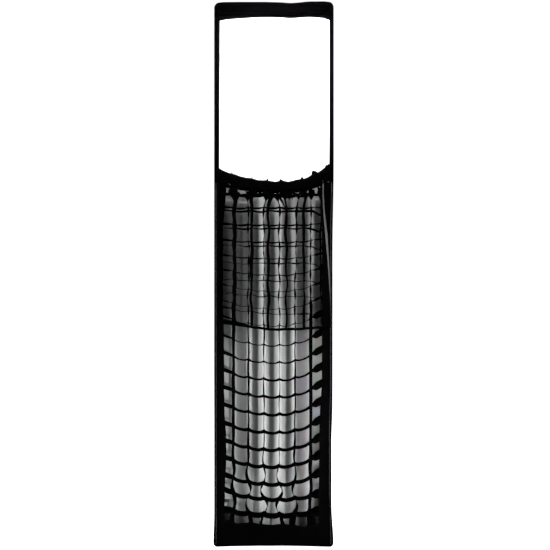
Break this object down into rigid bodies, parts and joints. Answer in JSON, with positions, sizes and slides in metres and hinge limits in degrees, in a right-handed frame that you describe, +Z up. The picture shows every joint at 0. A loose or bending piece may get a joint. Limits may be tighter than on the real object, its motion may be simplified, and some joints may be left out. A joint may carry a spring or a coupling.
{
  "type": "strip softbox",
  "caption": "Tall strip softbox with a turning bayonet ring, recessed white diffuser and a fabric egg-crate grid whose upper part is peeled and folded down.",
  "frame": {"origin": "centre of the bayonet plate's rear face, where it seats on the light", "axes": "+Z up along the long side, +Y out of the ring towards the light, -Y out of the lit front"},
  "size_m": [0.35, 0.467, 1.6],
  "materials": {
    "black_nylon": "matt coated nylon, black outside",
    "grid_cloth": "matt black woven strip, doubled and sewn",
    "white_diffusion": "white translucent nylon",
    "loop_tape": "black loop pile",
    "hook_tape": "dark grey moulded hooks on woven tape",
    "white_hook_tape": "white moulded hooks on woven tape",
    "black_webbing": "black woven tape",
    "elastic": "black ribbed elastic",
    "ring_paint": "black powder coat on cast aluminium",
    "zinc_plated_steel": "satin zinc plate",
    "screw_steel": "plated steel",
    "spring_steel": "ground spring steel",
    "snap_metal": "nickel plate",
    "black_plastic": "fine grained moulded nylon",
    "white_plastic": "natural nylon"
  },
  "bodies": {
    "ring": {"bayonet_barrel": "zinc_plated_steel", "bayonet_plate": "ring_paint"},
    "softbox": {"hub_ring": "ring_paint", "retaining_tabs": "zinc_plated_steel", "tab_screws": "screw_steel", "rod_sockets": "zinc_plated_steel", "socket_set_screws": "screw_steel", "rod_top_right": "spring_steel", "rod_top_left": "spring_steel", "rod_bottom_right": "spring_steel", "rod_bottom_left": "spring_steel", "rod_tip_caps": "black_plastic", "corner_pockets": "black_plastic", "wall_top": "black_nylon", "wall_bottom": "black_nylon", "wall_left": "black_nylon", "wall_right": "black_nylon", "rim_top": "black_nylon", "rim_bottom": "black_nylon", "rim_left": "black_nylon", "rim_right": "black_nylon", "neck_collar": "black_nylon", "grid_loop_tape": "loop_tape", "diffuser_loop_tape": "loop_tape", "front_diffuser": "white_diffusion", "diffuser_hook_tape": "white_hook_tape", "inner_baffle": "white_diffusion", "baffle_hem": "black_webbing", "baffle_straps": "elastic", "baffle_snaps": "snap_metal", "grid_uprights": "grid_cloth", "grid_rows": "grid_cloth", "grid_side_bands": "grid_cloth", "grid_bottom_band": "grid_cloth", "grid_hook_tape": "hook_tape"},
    "grid_flap": {"flap_uprights": "grid_cloth", "flap_rows": "grid_cloth", "flap_side_bands": "grid_cloth", "flap_edge_band": "grid_cloth", "flap_hook_tape": "hook_tape"},
    "pad": {"lock_pad": "white_plastic"},
    "knob": {"lock_screw": "screw_steel", "lock_knob": "black_plastic"},
    "closure_right": {"neck_flap_right": "black_nylon", "neck_tape_right": "hook_tape"},
    "closure_left": {"neck_flap_left": "black_nylon", "neck_tape_left": "hook_tape"}
  },
  "joints": [
    {"name": "ring_turn", "type": "hinge", "parent": "ring", "child": "softbox", "pos_m": [0, 0, 0], "axis": [0, 1, 0], "continuous": true},
    {"name": "grid_peel", "type": "hinge", "parent": "softbox", "child": "grid_flap", "pos_m": [0, -0.423, 0.315], "axis": [-1, 0, 0], "range_deg": [0, 180]},
    {"name": "lock_slide", "type": "slide", "parent": "softbox", "child": "pad", "axis": [1, 0, 0], "range_m": [0, 0.0025]},
    {"name": "lock_turn", "type": "hinge", "parent": "pad", "child": "knob", "pos_m": [0.09, -0.005, 0], "axis": [1, 0, 0], "range_deg": [0, 720]},
    {"name": "closure_right_fold", "type": "hinge", "parent": "softbox", "child": "closure_right", "pos_m": [0.12817, -0.096, 0], "axis": [0, 0, -1], "range_deg": [0, 140]},
    {"name": "closure_left_fold", "type": "hinge", "parent": "softbox", "child": "closure_left", "pos_m": [-0.12817, -0.096, 0], "axis": [0, 0, 1], "range_deg": [0, 140]}
  ],
  "couplings": [
    {"joint": "lock_turn", "follows": "lock_slide", "rad_per_m": 5026.5}
  ]
}
